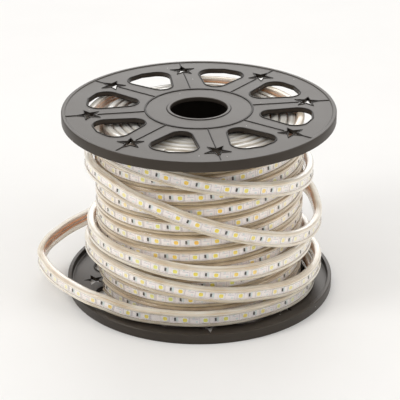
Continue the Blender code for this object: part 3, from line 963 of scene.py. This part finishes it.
def sleeve_material(name, dark, light, sheen_colour, over_band, over_lobes, behind):
    """Clear sleeve: see-through over the circuit band, milky in the lobes, with painted streaks of
    refracted light and shade, painted shade lines and a painted sheen where it is seen aslant.
    """
    material = new_material(name, 0.22, IOR=1.5, Coat_Weight=1.0,
                            Coat_Roughness=0.05, Specular_IOR_Level=0.6)
    tree = material.node_tree
    shader = tree.nodes["Principled BSDF"]
    scaled, apart = strip_place(tree)
    upward = add_node(tree, "ShaderNodeMath", operation="ABSOLUTE")
    lobe = add_node(tree, "ShaderNodeMapRange", {"From Min": 2.4, "From Max": 3.9},
                    interpolation_type="SMOOTHSTEP")
    back = add_node(tree, "ShaderNodeMapRange", {"From Min": 1.2, "From Max": 3.0})
    streaks = add_node(tree, "ShaderNodeMapping", {"Scale": (0.02, 1.4, 1.4)})
    streak = add_node(tree, "ShaderNodeTexNoise", {"Scale": 1.0, "Detail": 3.0})
    # The colour's painted streaks of refracted light and shade: fine noise drawn out along the
    # strip, blended with broad clouds.
    cloud = add_node(tree, "ShaderNodeTexNoise", {"Scale": 0.05, "Detail": 2.0})
    fine_place = add_node(tree, "ShaderNodeMapping", {"Scale": (0.015, 2.3, 2.3)})
    fine = add_node(tree, "ShaderNodeTexNoise", {"Scale": 1.0, "Detail": 4.0, "Roughness": 0.6})
    blend = add_node(tree, "ShaderNodeMix", {"Factor": 0.35}, data_type="FLOAT")
    # Painted shade: darker lines along the sleeve at set heights across it, where the lobes' edges
    # bend the light.
    share = add_node(tree, "ShaderNodeMath", {1: STRIP_WIDTH / 2 / MM}, operation="DIVIDE")
    tones = [(position, (value, value * 0.96, value * 0.88)) for position, value in SLEEVE_SHADE_LINES]
    shade_lines = colour_ramp(tree, (0.56, WHITE), *tones, (0.97, WHITE))
    shaded = add_node(tree, "ShaderNodeMix", {"Factor": 1.0}, data_type="RGBA",
                      blend_type="MULTIPLY")
    # Painted sheen: the colour pales and the sleeve grows less clear where it is seen aslant.
    facing = add_node(tree, "ShaderNodeLayerWeight", {"Blend": 0.5})
    aslant = add_node(tree, "ShaderNodeMapRange",
                      {"From Min": 0.22, "From Max": 0.85, "To Max": 0.75})
    painted_sheen = add_node(tree, "ShaderNodeMix", {7: (*sheen_colour, 1.0)}, data_type="RGBA")
    sheen_alpha = add_node(tree, "ShaderNodeMath", {1: SHEEN_OPACITY}, operation="MULTIPLY_ADD",
                      use_clamp=True)
    alpha_front = add_node(tree, "ShaderNodeMapRange",
                           {"To Min": over_band, "To Max": over_lobes})
    alpha = add_node(tree, "ShaderNodeMix", {"B": behind}, data_type="FLOAT")
    varied = add_node(tree, "ShaderNodeMath", {1: STREAK_SPREAD}, operation="MULTIPLY_ADD")
    offset = add_node(tree, "ShaderNodeMath", {1: STREAK_SPREAD / 2}, operation="SUBTRACT",
                      use_clamp=True)
    colours = colour_ramp(tree, (0.42, dark), (0.55, light))
    relief = add_node(tree, "ShaderNodeBump", {"Strength": 0.5, "Distance": 0.3 * MM})
    gloss = add_node(tree, "ShaderNodeMapRange", {"To Min": 0.16, "To Max": 0.34})
    link(tree, (apart, "Z", upward, 0), (upward, "Value", lobe, "Value"),
         (apart, "Y", back, "Value"), (lobe, "Result", alpha_front, "Value"),
         (back, "Result", alpha, "Factor"), (alpha_front, "Result", alpha, "A"),
         (scaled, "Vector", streaks, "Vector"), (streaks, "Vector", streak, "Vector"),
         (scaled, "Vector", cloud, "Vector"), (streak, "Fac", varied, 0),
         (alpha, "Result", varied, 2), (varied, "Value", offset, 0),
         (facing, "Facing", aslant, "Value"), (aslant, "Result", sheen_alpha, 0),
         (offset, "Value", sheen_alpha, 2), (sheen_alpha, "Value", shader, "Alpha"),
         (aslant, "Result", painted_sheen, "Factor"), (shaded, 2, painted_sheen, 6),
         (scaled, "Vector", fine_place, "Vector"), (fine_place, "Vector", fine, "Vector"),
         (fine, "Fac", blend, "A"), (cloud, "Fac", blend, "B"), (blend, "Result", colours, "Fac"),
         (upward, "Value", share, 0), (share, "Value", shade_lines, "Fac"), (colours, "Color", shaded, 6),
         (shade_lines, "Color", shaded, 7), (painted_sheen, 2, shader, "Base Color"),
         (fine, "Fac", relief, "Height"), (relief, "Normal", shader, "Normal"),
         (streak, "Fac", gloss, "Value"), (gloss, "Result", shader, "Roughness"))
    return material


def phosphor_material():
    """Phosphor that differs from one LED to the next, and pales to a painted sheen where it is seen
    aslant.
    """
    material = new_material("phosphor", 0.35)
    tree = material.node_tree
    shader = tree.nodes["Principled BSDF"]
    number = add_node(tree, "ShaderNodeAttribute", attribute_name="number")
    chance = add_node(tree, "ShaderNodeTexWhiteNoise", noise_dimensions="1D")
    drift = add_node(tree, "ShaderNodeTexNoise", {"Scale": 0.21, "Detail": 1.0},
                     noise_dimensions="1D")
    spread = add_node(tree, "ShaderNodeMapRange",
                      {"From Min": 0.3, "From Max": 0.7, "To Max": DRIFT_SHARE})
    both = add_node(tree, "ShaderNodeMath", {1: CHANCE_SHARE}, operation="MULTIPLY_ADD")
    colours = colour_ramp(tree, *PHOSPHOR_COLOURS)
    # Painted sheen: the colour pales where the LED is seen aslant.
    facing = add_node(tree, "ShaderNodeLayerWeight", {"Blend": 0.5})
    aslant = add_node(tree, "ShaderNodeMapRange",
                      {"From Min": 0.12, "From Max": 0.5, "To Max": 0.7})
    aslant_sheen = add_node(tree, "ShaderNodeMix", {7: (*PHOSPHOR_SHEEN_TINT, 1.0)}, data_type="RGBA")
    link(tree, (number, "Fac", chance, "W"), (number, "Fac", drift, "W"),
         (drift, "Fac", spread, "Value"), (chance, "Value", both, 0), (spread, "Result", both, 2),
         (both, "Value", colours, "Fac"), (facing, "Facing", aslant, "Value"),
         (aslant, "Result", aslant_sheen, "Factor"), (colours, "Color", aslant_sheen, 6),
         (aslant_sheen, 2, shader, "Base Color"))
    return material


place_camera()
WEAR = wear_group()
MOULDED = worn(new_material("black_moulding", 0.42, Specular_IOR_Level=0.45,
                            Specular_Tint=WARM_GLOSS),
               (0.017, 0.013, 0.010), (0.029, 0.023, 0.018), 0.34, 0.46, 900.0, 22.0, 0.10)
dusted(MOULDED)
# Painted shade: a darker, less glossy copy of the black moulding for the flanges' beads and raised
# rings, standing in for their shaded sides.
SHADED_RIDGE = worn(new_material("ridge_painted_shade", 0.42, Specular_IOR_Level=0.2,
                          Specular_Tint=WARM_GLOSS),
             (0.010, 0.008, 0.007), (0.017, 0.014, 0.012), 0.4, 0.5, 900.0, 22.0, 0.10)
# The outer turns' clear sleeve; each sleeve's third colour is its painted sheen where it is seen
# aslant.
SLEEVE = sleeve_material("clear_sleeve_painted_light", (0.72, 0.58, 0.38), (0.99, 0.95, 0.84),
                         (0.99, 0.95, 0.86), 0.04, 0.70, 0.22)
# Painted shade: the packed layer's sleeve is a darker, browner copy of the outer turns' clear
# sleeve.
SHADED_LAYER_SLEEVE = sleeve_material("packed_sleeve_painted_shade", (0.40, 0.30, 0.165), (0.84, 0.69, 0.47),
                               (0.94, 0.85, 0.72), 0.06, 0.62, 0.3)
# Painted shade: the inner turns' sleeve is a slightly darker copy of the outer turns' clear sleeve.
HALF_SHADED_INNER_SLEEVE = sleeve_material("inner_sleeve_slight_painted_shade", (0.58, 0.51, 0.39), (0.98, 0.95, 0.88),
                               (0.95, 0.94, 0.90), 0.1, 0.72, 0.12)
SHADED_SLEEVE = worn(new_material("shaded_sleeve", 0.5), (0.09, 0.065, 0.03), (0.26, 0.20, 0.11),
                     0.4, 0.6, 300.0, 90.0, 0.2)
BAND = worn(new_material("circuit_band", 0.45), (0.95, 0.88, 0.84), (0.99, 0.94, 0.92),
            0.4, 0.55, 500.0, 60.0, 0.08)
COPPER = worn(new_material("copper_conductor", 0.4), (0.62, 0.21, 0.08), (0.92, 0.45, 0.22),
              0.3, 0.5, 700.0, 160.0, 0.4)
LED_BODY = worn(new_material("led_body", 0.35), (0.92, 0.91, 0.88), (0.96, 0.95, 0.93),
                0.3, 0.4, 600.0, 120.0, 0.05)
PHOSPHOR = phosphor_material()
RESISTOR = worn(new_material("resistor_body", 0.4), (0.02, 0.02, 0.022), (0.05, 0.05, 0.055),
                0.35, 0.5, 900.0, 200.0, 0.1)
TRACK = worn(new_material("circuit_track", 0.5), (0.50, 0.45, 0.50), (0.64, 0.60, 0.66),
             0.4, 0.6, 800.0, 200.0, 0.1)
SOLDER = worn(new_material("solder", 0.35), (0.66, 0.74, 0.73), (0.82, 0.88, 0.86),
              0.3, 0.5, 800.0, 200.0, 0.2)

made = {values[0]: stretch(*values) for values in STRETCHES}
packed_layer()
inner_layers()
packed_core()
barrel()
moulded_flange("lower_flange", "bottom_flange", LOWER_STAR_PHASE, False)
moulded_flange("upper_flange", "top_flange", UPPER_STAR_PHASE, True)


# Floor and light

def floor():
    """Plain pale floor."""
    bpy.ops.object.select_all(action="DESELECT")
    bpy.ops.mesh.primitive_plane_add(size=FLOOR_SIDE)
    ground = bpy.context.object
    ground.name = "floor"
    material = new_material("pale_floor", 0.75)
    worn(material, (0.84, 0.83, 0.81), (0.88, 0.87, 0.85), 0.7, 0.8, 40.0, 3.0, 0.02)
    ground.data.materials.append(material)


def area_light(name, place, target, size, power, spread):
    """Soft square light that looks at a target, with its spread in degrees."""
    data = bpy.data.lights.new(name, "AREA")
    data.shape = "SQUARE"
    data.size = size
    data.energy = power
    data.spread = math.radians(spread)
    lamp = bpy.data.objects.new(name, data)
    bpy.context.collection.objects.link(lamp)
    turn = (Vector(target) - Vector(place)).to_track_quat("-Z", "Y")
    lamp.matrix_world = Matrix.Translation(place) @ turn.to_matrix().to_4x4()


def lighting():
    """Soft white studio light."""
    world = bpy.data.worlds.new("studio")
    bpy.context.scene.world = world
    world.use_nodes = True
    backdrop = world.node_tree.nodes["Background"]
    backdrop.inputs["Color"].default_value = (*WORLD_COLOUR, 1.0)
    backdrop.inputs["Strength"].default_value = WORLD_STRENGTH
    bpy.context.scene.view_settings.view_transform = "Standard"
    for light in LIGHTS:
        area_light(*light)


floor()
lighting()
